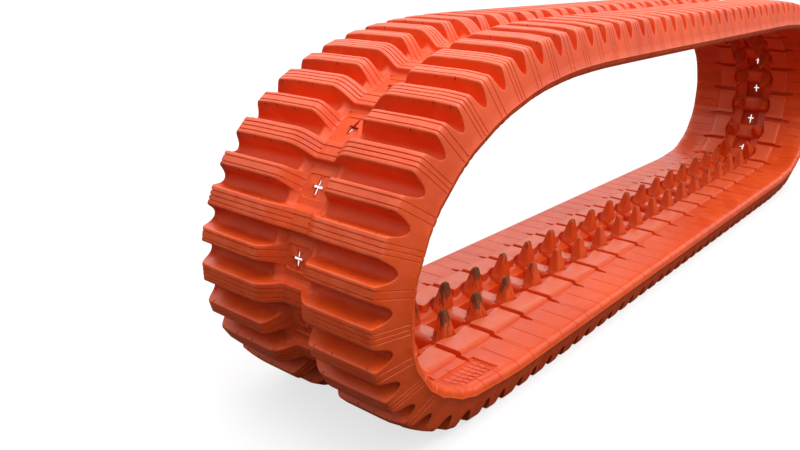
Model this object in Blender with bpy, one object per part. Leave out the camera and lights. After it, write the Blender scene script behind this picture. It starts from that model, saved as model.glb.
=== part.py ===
"""Rubber crawler track for a compact loader: one endless loop of moulded rubber.

The loop is built the way it comes out of the mould. Forged steel cores lie crosswise in the
carcass, one for each link, and stand up inside the loop as pairs of guide horns. A cord ply runs
around the loop outside the cores. The rubber carries tread lugs outside and roller pads inside.

One link is modelled flat, repeated along each segment of the loop, cut at the segment's ends and
then laid around the pitch line. Flat coordinates: x along the travel, y across, z outward from
the pitch line. World coordinates: metres, +X along the loop, +Y across, +Z up, with the tread
lugs of the lower run standing on z = 0.
"""
import math

import bmesh
import bpy
from mathutils import Matrix, Vector

# Loop
PITCH = 0.086
LINKS = 47
GROUND_LINKS = 16                 # links of the flat lower run
BEND_LINKS = 4                    # links in each segment of an end bend
RUN_OUT_LINKS = 11                # links over which an end bend turns the loop by half a circle
BEND_SHAPE = ((0, 0.540), (2, 0.505), (4, 0.430), (5, 0.350), (6, 0.235), (8, 0.120))
CREASE_SHARE = 0.285              # core to the pocket in which the loop bends, in pitches

# Carcass, measured from the pitch line
TRACK_WIDTH = 0.332
CARCASS_INNER = 0.012             # depth between the roller pads
FLANGE_INNER = 0.019              # depth of the thicker edges outside the pads
CARCASS_OUTER = 0.010
FLANGE_BEVEL = 0.007
EDGE_TOP = -0.003                 # outward height of the parting line at the track's edge

# Tread lugs
LUG_HEIGHT = 0.042
SHOULDER_WIDTH = 0.017            # slope from a lug's flat top out to the track's edge
WIDE_LUG_TOP = 0.029
WIDE_LUG_ROOT = 0.036
NARROW_LUG_TOP = 0.018
NARROW_LUG_ROOT = 0.024
LUG_INNER_Y = 0.038               # inner end of a lug's flat top
BRIDGE_HEIGHT = 0.020             # pad that joins the two halves of a wide lug
BRIDGE_HALF_WIDTH = 0.014
POCKET_END_INSET = 0.010          # a pocket's flat floor ends this far short of the shoulder
POCKET_END_SLOPE = 1.0            # the slope that closes a pocket, width over height
ROOT_DEPTH = 0.004                # how far a pad reaches into the carcass it grows from

# Roller pads
PAD_HEIGHT = 0.0115
PAD_WIDTH = 0.0435
PAD_GAP = 0.011                   # between one pad and the next along the loop
PAD_TO_HORN = 0.001
PAD_CHAMFER = 0.004
PAD_OVERLAP = 0.002               # how far a pad's side stands out over the edge of the flange
NOTCH_REACH = 0.013               # each gap between pads runs on into the flange by this much
NOTCH_INSET = 0.001               # and is narrower and shallower there by this much

# Sprocket windows
WINDOW_WIDTH = 0.044              # across; along the loop a window spans the gap between cores

# Steel cores
CORE_END_COVER = 0.048            # rubber from a core's end to the track's edge
CORE_WIDTH = 0.040
CORE_TIP_WIDTH = 0.026
CORE_THICKNESS = 0.008
BAR_WIDTH = 0.026
HORN_INNER_Y = 0.0215
HORN_OUTER_Y = 0.0455
HORN_REACH = 0.057                # pitch line to a horn's tip
HORN_TIP_LENGTH = 0.011
HORN_TIP_WIDTH = 0.007
HORN_LEAN = 0.002                 # tips lean this far toward the window

# Cord ply
PLY_THICKNESS = 0.0025
PLY_INNER_Y = 0.032
PLY_EDGE_COVER = 0.020            # rubber from the ply's edge to the track's edge
PLY_STRAP_LENGTH = 0.022          # strap that ties the two bands over one core of a segment
PLY_COVER = 0.0012                # rubber between the ply and a core's outer face
PLY_END_SETBACK = 0.001

# Fits
MOULD_GAP = 0.0003                # between the rubber and what it is moulded around

# Flex slits between segments
SLIT_OFFSET = 0.105               # hinge to pad gap and hinge to pocket, in pitches
SLIT_GAP = 0.0005
SLIT_SKIN = 0.001                 # depth under the carcass's faces where a slit turns square
END_FLEX = math.radians(3.5)      # travel of the hinges at the lower and upper runs
MIDDLE_FLEX = math.radians(7.0)   # travel of the hinges at mid height
FLEX_MARGIN = math.radians(0.5)

# Reach of cutters past what they cut, and what counts as one point or as one flat face
OVERCUT = 0.03
WELD_DISTANCE = 0.00002
FLAT_ENOUGH = math.radians(0.05)

RUBBER_COLOUR = (0.74, 0.105, 0.022)
PLY_COLOUR = (0.035, 0.032, 0.030)
CORE_COLOUR = (0.60, 0.085, 0.020)

HALF_PITCH = PITCH / 2
HALF_WIDTH = TRACK_WIDTH / 2
SHOULDER_Y = HALF_WIDTH - SHOULDER_WIDTH
POCKET_FLOOR_Y = SHOULDER_Y - POCKET_END_INSET
PAD_LENGTH = PITCH - PAD_GAP
PAD_INNER_Y = HORN_OUTER_Y + PAD_TO_HORN
PAD_OUTER_Y = PAD_INNER_Y + PAD_WIDTH
WINDOW_LENGTH = PITCH - CORE_WIDTH
CORE_LENGTH = TRACK_WIDTH - 2 * CORE_END_COVER
PLY_OUTER_Y = HALF_WIDTH - PLY_EDGE_COVER


def clear_scene():
    for old in list(bpy.data.objects):
        bpy.data.objects.remove(old, do_unlink=True)


def new_collection(name):
    collection = bpy.data.collections.new(name)
    bpy.context.scene.collection.children.link(collection)
    return collection


def make_material(name, colour, roughness, metallic):
    material = bpy.data.materials.new(name)
    material.use_nodes = True
    shader = material.node_tree.nodes["Principled BSDF"]
    shader.inputs["Base Color"].default_value = (*colour, 1.0)
    shader.inputs["Roughness"].default_value = roughness
    shader.inputs["Metallic"].default_value = metallic
    return material


def place(name, mesh, collection, material):
    mesh.materials.clear()
    mesh.materials.append(material)
    part = bpy.data.objects.new(name, mesh)
    collection.objects.link(part)
    return part


# Solids in flat coordinates

def prism(outline, axis, low, high):
    """A flat outline drawn out along x or y from low to high."""
    shape = bmesh.new()
    spots = []
    for across, up in outline:
        spots.append((low, across, up) if axis == "x" else (across, low, up))
    face = shape.faces.new([shape.verts.new(spot) for spot in spots])
    drawn = bmesh.ops.extrude_face_region(shape, geom=[face])
    step = Vector((high - low, 0, 0)) if axis == "x" else Vector((0, high - low, 0))
    moved = [item for item in drawn["geom"] if isinstance(item, bmesh.types.BMVert)]
    bmesh.ops.translate(shape, verts=moved, vec=step)
    bmesh.ops.recalc_face_normals(shape, faces=shape.faces)
    return shape


def block(x_low, x_high, y_low, y_high, z_low, z_high):
    shape = bmesh.new()
    bmesh.ops.create_cube(shape, size=1)
    bmesh.ops.scale(shape, verts=shape.verts, vec=(x_high - x_low, y_high - y_low, z_high - z_low))
    middle = ((x_low + x_high) / 2, (y_low + y_high) / 2, (z_low + z_high) / 2)
    bmesh.ops.translate(shape, verts=shape.verts, vec=middle)
    return shape


def to_mesh(shape, name):
    mesh = bpy.data.meshes.new(name)
    shape.to_mesh(mesh)
    shape.free()
    return mesh


def combine(base, tools, operation):
    """Join the tools to the base mesh or cut them from it, one after another."""
    target = bpy.data.objects.new("work", base)
    bpy.context.scene.collection.objects.link(target)
    for tool in tools:
        cutter = bpy.data.objects.new("cutter", to_mesh(tool, "cutter"))
        cutter.hide_render = True
        cutter.display_type = "WIRE"
        cutters.objects.link(cutter)
        step = target.modifiers.new("step", "BOOLEAN")
        step.operation = operation
        step.solver = "EXACT"
        step.object = cutter
        graph = bpy.context.evaluated_depsgraph_get()
        result = bpy.data.meshes.new_from_object(target.evaluated_get(graph))
        target.modifiers.clear()
        target.data = result
        bpy.data.objects.remove(cutter, do_unlink=True)
    result = target.data
    bpy.data.objects.remove(target, do_unlink=True)
    return result


# One link, modelled as the quarter x > 0, y > 0

def moulding_quarter():
    """The rubber with one unbroken lug as wide as the link, before its pocket is cut."""
    outline = (
        (0, -CARCASS_INNER),
        (PAD_OUTER_Y - PAD_OVERLAP, -CARCASS_INNER),
        (PAD_OUTER_Y - PAD_OVERLAP, -FLANGE_INNER),
        (HALF_WIDTH - FLANGE_BEVEL, -FLANGE_INNER),
        (HALF_WIDTH, -FLANGE_INNER + FLANGE_BEVEL),
        (HALF_WIDTH, EDGE_TOP),
        (SHOULDER_Y, LUG_HEIGHT),
        (LUG_INNER_Y, LUG_HEIGHT),
        (BRIDGE_HALF_WIDTH, BRIDGE_HEIGHT),
        (0, BRIDGE_HEIGHT),
    )
    return prism(outline, "x", 0, HALF_PITCH)


def pocket_cutter():
    """The pocket between a wide and a narrow lug, open to the middle and closed at the shoulder."""
    over = LUG_HEIGHT + OVERCUT
    shape = block(WIDE_LUG_ROOT / 2, HALF_PITCH - NARROW_LUG_ROOT / 2, -OVERCUT, POCKET_FLOOR_Y,
                  CARCASS_OUTER, over)
    rise = (over - CARCASS_OUTER) / (LUG_HEIGHT - CARCASS_OUTER)
    for vert in shape.verts:
        if vert.co.z > CARCASS_OUTER + 1e-5:
            if vert.co.x < HALF_PITCH / 2:
                vert.co.x -= (WIDE_LUG_ROOT - WIDE_LUG_TOP) / 2 * rise
            else:
                vert.co.x += (NARROW_LUG_ROOT - NARROW_LUG_TOP) / 2 * rise
            if vert.co.y > 0:
                vert.co.y += (over - CARCASS_OUTER) * POCKET_END_SLOPE
    return shape


def pad_quarter():
    """Half of a roller pad, with the corner beside the guide horns cut off at a slant."""
    base = -CARCASS_INNER + ROOT_DEPTH
    face = -CARCASS_INNER - PAD_HEIGHT
    half = PAD_LENGTH / 2
    shape = prism(((PAD_INNER_Y, base), (PAD_OUTER_Y, base), (PAD_OUTER_Y, face), (PAD_INNER_Y, face)),
                  "x", 0, half)
    for vert in shape.verts:
        if vert.co.x > 0 and vert.co.y < (PAD_INNER_Y + PAD_OUTER_Y) / 2:
            vert.co.x -= PAD_CHAMFER
    return shape


def core_face():
    """Height of a core's outer face, a little inside the cord ply."""
    return -PLY_THICKNESS / 2 - PLY_COVER - 2 * MOULD_GAP


def link_cutters(strapped):
    """What the moulding leaves out: notch, window, the core's seat and the slots for the ply."""
    slot = PLY_THICKNESS / 2 + MOULD_GAP
    deep = -CARCASS_INNER - OVERCUT
    high = LUG_HEIGHT + OVERCUT
    seat = CORE_WIDTH / 2 + MOULD_GAP
    seat_floor = core_face() + MOULD_GAP
    seat_roof = core_face() - CORE_THICKNESS - MOULD_GAP
    window = block(HALF_PITCH - WINDOW_LENGTH / 2, HALF_PITCH + OVERCUT,
                   -OVERCUT, WINDOW_WIDTH / 2, deep, high)
    horn_seat = block(-OVERCUT, seat, -OVERCUT, HORN_OUTER_Y + MOULD_GAP, deep, seat_floor)
    wing_seat = block(-OVERCUT, seat, -OVERCUT, CORE_LENGTH / 2 + MOULD_GAP, seat_roof, seat_floor)
    band_slot = block(-OVERCUT, HALF_PITCH + OVERCUT,
                      PLY_INNER_Y - MOULD_GAP, PLY_OUTER_Y + MOULD_GAP, -slot, slot)
    notch = block(PAD_LENGTH / 2 + NOTCH_INSET, HALF_PITCH + OVERCUT,
                  PAD_INNER_Y + PAD_WIDTH / 2, PAD_OUTER_Y + NOTCH_REACH,
                  deep, -CARCASS_INNER - NOTCH_INSET)
    cuts = [notch, window, horn_seat, wing_seat, band_slot]
    if strapped:
        cuts.append(block(-OVERCUT, PLY_STRAP_LENGTH / 2 + MOULD_GAP,
                          -OVERCUT, PLY_INNER_Y + MOULD_GAP, -slot, slot))
    return cuts


def link_quarter(strapped):
    body = to_mesh(moulding_quarter(), "quarter")
    body = combine(body, [pad_quarter()], "UNION")
    return combine(body, [pocket_cutter(), *link_cutters(strapped)], "DIFFERENCE")


def ply_quarter(strapped):
    half = PLY_THICKNESS / 2
    band = to_mesh(block(0, HALF_PITCH, PLY_INNER_Y, PLY_OUTER_Y, -half, half), "ply")
    if not strapped:
        return band
    strap = block(0, PLY_STRAP_LENGTH / 2, 0, (PLY_INNER_Y + PLY_OUTER_Y) / 2, -half, half)
    return combine(band, [strap], "UNION")


# From a quarter to a whole segment

def drop_faces_at(shape, axis, place_at):
    """Remove the cut faces in one plane, so that mirrored copies meet open edge to open edge."""
    flat = [face for face in shape.faces
            if all(abs(vert.co[axis] - place_at) < 1e-6 for vert in face.verts)]
    bmesh.ops.delete(shape, geom=flat, context="FACES")


def mirrored(shape, axis):
    """The shape joined with its mirror image in the plane through the origin."""
    copy = bmesh.ops.duplicate(shape, geom=shape.verts[:] + shape.edges[:] + shape.faces[:])
    verts = [item for item in copy["geom"] if isinstance(item, bmesh.types.BMVert)]
    faces = [item for item in copy["geom"] if isinstance(item, bmesh.types.BMFace)]
    for vert in verts:
        vert.co[axis] = -vert.co[axis]
    bmesh.ops.reverse_faces(shape, faces=faces)
    seam = [vert for vert in shape.verts if abs(vert.co[axis]) < 1e-6]
    bmesh.ops.remove_doubles(shape, verts=seam, dist=WELD_DISTANCE)


def link_shape(quarter, bent, closed_start, closed_end):
    """A whole link about the origin, open at the ends that meet another link."""
    shape = bmesh.new()
    shape.from_mesh(quarter)
    drop_faces_at(shape, 0, 0.0)
    drop_faces_at(shape, 1, 0.0)
    mirrored(shape, 1)
    mirrored(shape, 0)
    if not closed_start:
        drop_faces_at(shape, 0, -HALF_PITCH)
    if not closed_end:
        drop_faces_at(shape, 0, HALF_PITCH)
    bmesh.ops.dissolve_limit(shape, angle_limit=FLAT_ENOUGH, verts=shape.verts, edges=shape.edges)
    if bent:
        for side in (-1, 1):
            everything = shape.verts[:] + shape.edges[:] + shape.faces[:]
            bmesh.ops.bisect_plane(shape, geom=everything, dist=1e-6,
                                   plane_co=(side * CREASE_SHARE * PITCH, 0, 0), plane_no=(1, 0, 0))
    return shape


def run_of_links(quarters, first, last, strapped_link):
    """Links first to last, laid end to end in flat coordinates as one closed solid."""
    run = bmesh.new()
    for link in range(first, last + 1):
        bent = turns[(link - 1) % LINKS] > 1e-4 or turns[link % LINKS] > 1e-4
        quarter = quarters[link == strapped_link]
        shape = link_shape(quarter, bent, link == first, link == last)
        bmesh.ops.translate(shape, verts=shape.verts, vec=(link * PITCH, 0, 0))
        piece = to_mesh(shape, "link")
        run.from_mesh(piece)
        bpy.data.meshes.remove(piece)
    for link in range(first, last):
        joint = (link + 0.5) * PITCH
        seam = [vert for vert in run.verts if abs(vert.co.x - joint) < 1e-5]
        bmesh.ops.remove_doubles(run, verts=seam, dist=WELD_DISTANCE)
    return run


def slit_profile(hinge, side, slant, flex, setback):
    """Edge of a segment at a flex slit: a blunt nose on the hinge line, cut back both ways.

    The slit runs from a gap between roller pads through the hinge line to a tread pocket, and
    opens away from the hinge line by the angle through which the joint can turn.
    """
    offset = SLIT_OFFSET * PITCH * slant
    reach = math.tan(flex / 2 + FLEX_MARGIN)
    inner = CARCASS_INNER - SLIT_SKIN
    outer = CARCASS_OUTER - SLIT_SKIN
    inner_shift = inner * reach * (1 + (offset / inner) ** 2)
    outer_shift = outer * reach * (1 + (offset / outer) ** 2)
    nose = SLIT_GAP / 2 + setback
    far = LUG_HEIGHT + OVERCUT
    middle = hinge * PITCH
    return (
        (middle + offset + side * (nose + far * reach), -far),
        (middle + offset + side * (nose + inner_shift), -inner),
        (middle + side * nose, 0),
        (middle - offset + side * (nose + outer_shift), outer),
        (middle - offset + side * (nose + far * reach), far),
    )


def end_cutter(hinge, side, slant, flex, setback=0.0):
    """Everything beyond a segment's end, as a prism across the track."""
    edge = slit_profile(hinge, side, slant, flex, setback)
    beyond = hinge * PITCH - side * 1.5 * PITCH
    outline = ((beyond, edge[0][1]), *edge, (beyond, edge[-1][1]))
    return prism(outline, "y", -HALF_WIDTH - OVERCUT, HALF_WIDTH + OVERCUT)


# The loop

def bend_turns(run_out):
    """Angle turned in each gap between links of an end bend, half a circle in all.

    The bend is tight where it leaves the lower run and eases into the upper one. run_out is
    the turn per link, two links before the bend's end.
    """
    knots = [*BEND_SHAPE, (RUN_OUT_LINKS - 1, run_out), (RUN_OUT_LINKS, 0.0)]
    shares = []
    for gap in range(RUN_OUT_LINKS):
        spot = gap + 0.5
        for (left, low), (right, high) in zip(knots, knots[1:]):
            if left <= spot < right:
                shares.append(low + (high - low) * (spot - left) / (right - left))
    scale = math.pi / sum(shares)
    return [share * scale for share in shares]


def loop_turns(bend):
    """Turn in the gap after each link, around the whole loop."""
    around = [0.0] * LINKS
    for step, turn in enumerate(bend):
        around[(GROUND_LINKS + step) % LINKS] = turn
        around[(-2 - step) % LINKS] = turn
    return around


def advance(spot, heading, turn, share):
    """Move along the pitch line by a share of one gap, which turns half at each of two creases."""
    last = 0.0
    for crease in (CREASE_SHARE, 1 - CREASE_SHARE):
        step = min(share, crease) - last
        spot = spot + step * PITCH * Vector((math.cos(heading), math.sin(heading)))
        last += step
        if share > crease + 1e-5:
            heading -= turn / 2
    step = share - last
    spot = spot + step * PITCH * Vector((math.cos(heading), math.sin(heading)))
    return spot, heading


def trace_loop():
    """Place and heading of every core, from the rear of the lower run forward and around."""
    spot = Vector(((GROUND_LINKS - 1) / 2 * PITCH, LUG_HEIGHT))
    heading = math.pi
    around = []
    for link in range(LINKS):
        around.append((spot, heading))
        spot, heading = advance(spot, heading, turns[link], 1.0)
    return around, spot


def closing_error(run_out):
    """How far past the middle plane the loop is at its topmost link."""
    spot = Vector((-(GROUND_LINKS - 1) / 2 * PITCH - PITCH, LUG_HEIGHT))
    heading = math.pi
    for turn in bend_turns(run_out):
        spot, heading = advance(spot, heading, turn, 1.0)
    straight = (LINKS - GROUND_LINKS) / 2 - 0.5 - RUN_OUT_LINKS
    return spot.x + straight * PITCH


def solve_run_out():
    """The run-out that closes the loop on itself, by halving an interval."""
    low, high = -0.10, 0.20
    falling = closing_error(low) > closing_error(high)
    for _ in range(60):
        middle = (low + high) / 2
        if (closing_error(middle) > 0) == falling:
            low = middle
        else:
            high = middle
    return (low + high) / 2


def on_loop(x, height):
    """World x and z of a flat point, given its travel x and its height off the pitch line.

    A point on a crease lies on the mitre between the two straight stretches that meet there.
    """
    gap = math.floor(x / PITCH + 1e-9)
    share = max(x / PITCH - gap, 0.0)
    turn = turns[gap % LINKS]
    spot, heading = cores_at[gap % LINKS]
    spot, heading = advance(spot, heading, turn, share)
    if min(abs(share - CREASE_SHARE), abs(share - 1 + CREASE_SHARE)) < 1e-5:
        heading -= turn / 4
        height /= math.cos(turn / 4)
    outward = Vector((-math.sin(heading), math.cos(heading)))
    return spot + outward * height


def lay_on_loop(mesh, origin):
    """Bend a flat mesh around the loop, with its own origin at the given world place."""
    shape = bmesh.new()
    shape.from_mesh(mesh)
    for vert in shape.verts:
        spot = on_loop(vert.co.x, vert.co.z)
        vert.co = Vector((spot.x, vert.co.y, spot.y)) - origin
    bmesh.ops.remove_doubles(shape, verts=shape.verts, dist=WELD_DISTANCE)
    shape.normal_update()
    bmesh.ops.dissolve_limit(shape, angle_limit=FLAT_ENOUGH, verts=shape.verts, edges=shape.edges)
    shape.to_mesh(mesh)
    shape.free()


# Steel cores

def core_mesh():
    """A forged core: two tapered wings, a bar that the sprocket drives, and two guide horns."""
    face = core_face()
    back = face - CORE_THICKNESS
    shape = block(-CORE_WIDTH / 2, CORE_WIDTH / 2, -CORE_LENGTH / 2, CORE_LENGTH / 2, back, face)
    for station in (HORN_OUTER_Y, HORN_INNER_Y):
        for side in (-1, 1):
            everything = shape.verts[:] + shape.edges[:] + shape.faces[:]
            bmesh.ops.bisect_plane(shape, geom=everything, dist=1e-6,
                                   plane_co=(0, side * station, 0), plane_no=(0, 1, 0))
    for vert in shape.verts:
        across = abs(vert.co.y)
        if across > CORE_LENGTH / 2 - 1e-5:
            vert.co.x *= CORE_TIP_WIDTH / CORE_WIDTH
        elif across < HORN_INNER_Y + 1e-5:
            vert.co.x *= BAR_WIDTH / CORE_WIDTH
    feet = []
    for side_face in shape.faces:
        middle = side_face.calc_center_median()
        if side_face.normal.z < -0.9 and HORN_INNER_Y < abs(middle.y) < HORN_OUTER_Y:
            feet.append(side_face)
    for foot in feet:
        raise_horn(shape, foot)
    bmesh.ops.recalc_face_normals(shape, faces=shape.faces)
    return to_mesh(shape, "core")


def raise_horn(shape, foot):
    """Draw a tapering guide horn up from its foot between the wing and the bar."""
    side = math.copysign(1, foot.calc_center_median().y)
    tip_y = side * ((HORN_INNER_Y + HORN_OUTER_Y) / 2 - HORN_LEAN)
    drawn = bmesh.ops.extrude_discrete_faces(shape, faces=[foot])
    tip = drawn["faces"][0]
    foot_y = tip.calc_center_bounds().y
    for vert in tip.verts:
        vert.co.x = math.copysign(HORN_TIP_LENGTH / 2, vert.co.x)
        vert.co.y = tip_y + math.copysign(HORN_TIP_WIDTH / 2, vert.co.y - foot_y)
        vert.co.z = -HORN_REACH


# Assembly

def hinge_place(hinge):
    spot = on_loop(hinge * PITCH, 0.0)
    return Vector((spot.x, 0.0, spot.y))


def segment_plan():
    """Name, first and last core, and the two end hinges of each segment of the loop.

    A hinge lies in the gap between two cores. On the front half its slit leans one way and on
    the rear half the other, so that the two halves mirror each other.
    """
    half = 0.5 + SLIT_OFFSET
    ground_end = GROUND_LINKS
    lower_end = ground_end + BEND_LINKS
    upper_end = lower_end + BEND_LINKS
    rear_upper = LINKS - 2 * BEND_LINKS
    rear_lower = LINKS - BEND_LINKS
    return (
        ("ground_run", 0, ground_end - 1, half - 1, ground_end - half, END_FLEX, END_FLEX),
        ("front_lower_bend", ground_end, lower_end - 1, ground_end - half, lower_end - half,
         END_FLEX, MIDDLE_FLEX),
        ("front_upper_bend", lower_end, upper_end - 1, lower_end - half, upper_end - half,
         MIDDLE_FLEX, END_FLEX),
        ("top_run", upper_end, rear_upper - 1, upper_end - half, rear_upper - 1 + half,
         END_FLEX, END_FLEX),
        ("rear_upper_bend", rear_upper, rear_lower - 1, rear_upper - 1 + half,
         rear_lower - 1 + half, END_FLEX, MIDDLE_FLEX),
        ("rear_lower_bend", rear_lower, LINKS - 1, rear_lower - 1 + half, LINKS - 1 + half,
         MIDDLE_FLEX, END_FLEX),
    )


def hinge_slant(hinge):
    """+1 where the slit leans as on the front half of the loop, -1 as on the rear half."""
    front = hinge - math.floor(hinge) < 0.5
    return 1 if front and hinge > 0 else -1


def build_segment(name, first, last, start, end, start_flex, end_flex, quarters, setback, body):
    """One segment of rubber or ply: a run of links, cut at both ends and laid on the loop."""
    first_link = math.floor(start + 0.5)
    last_link = math.floor(end + 0.5)
    if hinge_slant(end) > 0:
        last_link = last
    if hinge_slant(start) < 0:
        first_link = first
    flat = to_mesh(run_of_links(quarters, first_link, last_link, first), name)
    cuts = [end_cutter(start, 1, hinge_slant(start), start_flex, setback),
            end_cutter(end, -1, hinge_slant(end), end_flex, setback)]
    flat = combine(flat, cuts, "DIFFERENCE")
    flat.name = name
    lay_on_loop(flat, body.location)
    return flat


def build_track(parts):
    link = (link_quarter(False), link_quarter(True))
    ply = (ply_quarter(False), ply_quarter(True))
    forged = core_mesh()
    for name, first, last, start, end, start_flex, end_flex in segment_plan():
        body = bpy.data.objects.new(name + "_axis", None)
        if name != "ground_run":
            body.location = hinge_place(start)
        parts.objects.link(body)
        rubber_mesh = build_segment(name, first, last, start, end, start_flex, end_flex,
                                    link, 0.0, body)
        rubber_look = make_material("rubber_" + name, RUBBER_COLOUR, 0.55, 0.0)
        rubber = place("rubber_" + name, rubber_mesh, parts, rubber_look)
        rubber.parent = body
        ply_mesh = build_segment(name, first, last, start, end, start_flex, end_flex,
                                 ply, PLY_END_SETBACK, body)
        ply_look = make_material("cord_ply_" + name, PLY_COLOUR, 0.8, 0.0)
        sheet = place("cord_ply_" + name, ply_mesh, parts, ply_look)
        sheet.parent = body
        for number in range(first, last + 1):
            add_core(number, forged, parts, body)


def add_core(number, forged, parts, body):
    """One steel core, set square to the loop at its own place."""
    spot, heading = cores_at[number]
    label = "steel_core_%02d" % (number + 1)
    core = bpy.data.objects.new(label, forged.copy())
    core.data.materials.append(make_material(label, CORE_COLOUR, 0.5, 0.3))
    parts.objects.link(core)
    core.parent = body
    core.location = Vector((spot.x, 0.0, spot.y)) - body.location
    core.rotation_euler = (0.0, -heading, 0.0)


clear_scene()
track_parts = new_collection("rubber_track")
cutters = new_collection("cutters")
turns = loop_turns(bend_turns(solve_run_out()))
cores_at, loop_end = trace_loop()
build_track(track_parts)
bpy.context.view_layer.update()
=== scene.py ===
import itertools
import math

import bmesh
import bpy
import numpy as np
from mathutils import Matrix, Vector


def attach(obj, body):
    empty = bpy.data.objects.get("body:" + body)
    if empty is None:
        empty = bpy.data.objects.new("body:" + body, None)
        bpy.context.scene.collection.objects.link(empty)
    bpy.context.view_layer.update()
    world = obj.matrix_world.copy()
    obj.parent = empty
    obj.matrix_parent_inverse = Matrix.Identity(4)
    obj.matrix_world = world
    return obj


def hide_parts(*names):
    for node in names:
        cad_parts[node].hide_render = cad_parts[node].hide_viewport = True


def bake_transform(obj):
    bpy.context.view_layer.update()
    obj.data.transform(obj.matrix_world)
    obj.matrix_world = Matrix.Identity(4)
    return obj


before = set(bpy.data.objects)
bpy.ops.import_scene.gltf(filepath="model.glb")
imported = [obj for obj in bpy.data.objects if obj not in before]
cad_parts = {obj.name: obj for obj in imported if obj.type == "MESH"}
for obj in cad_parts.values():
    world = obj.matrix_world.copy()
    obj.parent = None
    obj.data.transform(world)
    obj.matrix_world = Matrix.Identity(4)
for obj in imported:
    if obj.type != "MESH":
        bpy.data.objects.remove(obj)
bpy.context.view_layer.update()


# THE LOOP
# The track is moulded as one endless loop of 47 links. A steel core holds each link straight, so
# the loop bends between cores: tight where it leaves the lower run, easing into the upper run.

PITCH = 0.086
LINKS = 47
GROUND_LINKS = 16
RUN_OUT_LINKS = 11
BEND_SHAPE = ((0, 0.540), (2, 0.505), (4, 0.430), (5, 0.350), (6, 0.235), (8, 0.120))
CREASE = 0.285                    # from a core to where the rubber starts to bend, in pitches
CREASE_SPREAD = 0.085             # half the length over which that bend is spread
LUG_TOP = 0.042
CORNER = 9.2                      # pitches from the middle of the lower run to its turned-up corners
CORNER_SPREAD = 1.9
CORNER_CURL = 0.0105
LIFT_START = 11.0                 # pitches from that middle to where the edges of the bends roll in
LIFT_LENGTH = 4.0
LIFT_CURL = 0.0045
SOFT_EDGE_START = 0.112           # across the track: the cores end near here, and the rubber is soft
SOFT_EDGE_WIDTH = 0.054


def bend_turns(run_out):
    """Angle turned between one core and the next around an end of the loop."""
    knots = [*BEND_SHAPE, (RUN_OUT_LINKS - 1, run_out), (RUN_OUT_LINKS, 0.0)]
    at = [knot[0] for knot in knots]
    shares = np.interp(np.arange(RUN_OUT_LINKS) + 0.5, at, [knot[1] for knot in knots])
    return shares * math.pi / shares.sum()


def trace_pitch_line(bend):
    """Middle and heading of each straight stretch: over core 0, past it, over core 1 and so on."""
    turn = np.zeros(LINKS)
    for step, angle in enumerate(bend):
        turn[(GROUND_LINKS + step) % LINKS] = angle
        turn[(-2 - step) % LINKS] = angle
    spot = np.array(((GROUND_LINKS - 1) / 2 * PITCH, LUG_TOP))
    heading = math.pi
    stretches = []
    for link in range(LINKS):
        stretches.append((*spot, heading))
        crease = spot + CREASE * PITCH * np.array((math.cos(heading), math.sin(heading)))
        heading -= turn[link] / 2
        ahead = np.array((math.cos(heading), math.sin(heading)))
        middle = crease + (0.5 - CREASE) * PITCH * ahead
        stretches.append((*middle, heading))
        crease = middle + (0.5 - CREASE) * PITCH * ahead
        heading -= turn[link] / 2
        spot = crease + CREASE * PITCH * np.array((math.cos(heading), math.sin(heading)))
    return np.array(stretches), spot[0] - stretches[0][0]


def overrun(run_out):
    """How far the loop runs past its own start for a given run-out."""
    return trace_pitch_line(bend_turns(run_out))[1]


low, high = -0.10, 0.20           # the run-out lies in this range, which is halved to close the loop
falling = overrun(low) > overrun(high)
for _ in range(50):
    if (overrun((low + high) / 2) > 0) == falling:
        low = (low + high) / 2
    else:
        high = (low + high) / 2
stretches, _ = trace_pitch_line(bend_turns((low + high) / 2))


def edge_curl(along, across):
    """How far the soft edges, past the ends of the cores, roll toward the inside of the loop."""
    reach = np.abs((along - (GROUND_LINKS - 1) / 2 + LINKS / 2) % LINKS - LINKS / 2)
    corner = np.cos(np.clip(np.abs(reach - CORNER) / CORNER_SPREAD, 0, 1) * math.pi / 2) ** 2
    lifted = np.clip((reach - LIFT_START) / LIFT_LENGTH, 0, 1)
    share = np.clip((np.abs(across) - SOFT_EDGE_START) / SOFT_EDGE_WIDTH, 0, 1)
    return (CORNER_CURL * corner + LIFT_CURL * lifted) * share * share * (3 - 2 * share)


def on_loop(flat):
    """World places of flat points: x along the travel, y across, z outward from the pitch line."""
    along = flat[:, 0] / PITCH
    outward = flat[:, 2] - edge_curl(along, flat[:, 1])
    link = np.floor(along + 1e-9)
    share = along - link
    past_first = np.clip((share - CREASE) / CREASE_SPREAD / 2 + 0.5, 0, 1)
    past_second = np.clip((share - 1 + CREASE) / CREASE_SPREAD / 2 + 0.5, 0, 1)
    first = past_first * past_first * (3 - 2 * past_first)
    second = past_second * past_second * (3 - 2 * past_second)
    world = np.zeros_like(flat)
    for step, weight in ((0, 1 - first), (1, first - second), (2, second)):
        stretch = (2 * link.astype(int) + step) % (2 * LINKS)
        x, z, heading = stretches[stretch].T
        reach = flat[:, 0] - (link + step / 2) * PITCH
        world[:, 0] += weight * (x + reach * np.cos(heading) - outward * np.sin(heading))
        world[:, 2] += weight * (z + reach * np.sin(heading) + outward * np.cos(heading))
    world[:, 1] = flat[:, 1]
    return world


def loop_point(pitches, height=0.0):
    return Vector(on_loop(np.array(((pitches * PITCH, 0.0, height),)))[0])


def lay_on_loop(mesh):
    """Bend a flat mesh around the loop."""
    flat = np.zeros(len(mesh.vertices) * 3)
    mesh.vertices.foreach_get("co", flat)
    mesh.vertices.foreach_set("co", on_loop(flat.reshape(-1, 3)).ravel())
    mesh.update()


# CAMERA
# The photograph looks down along the loop from its front corner, close to the front bend.

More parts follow.
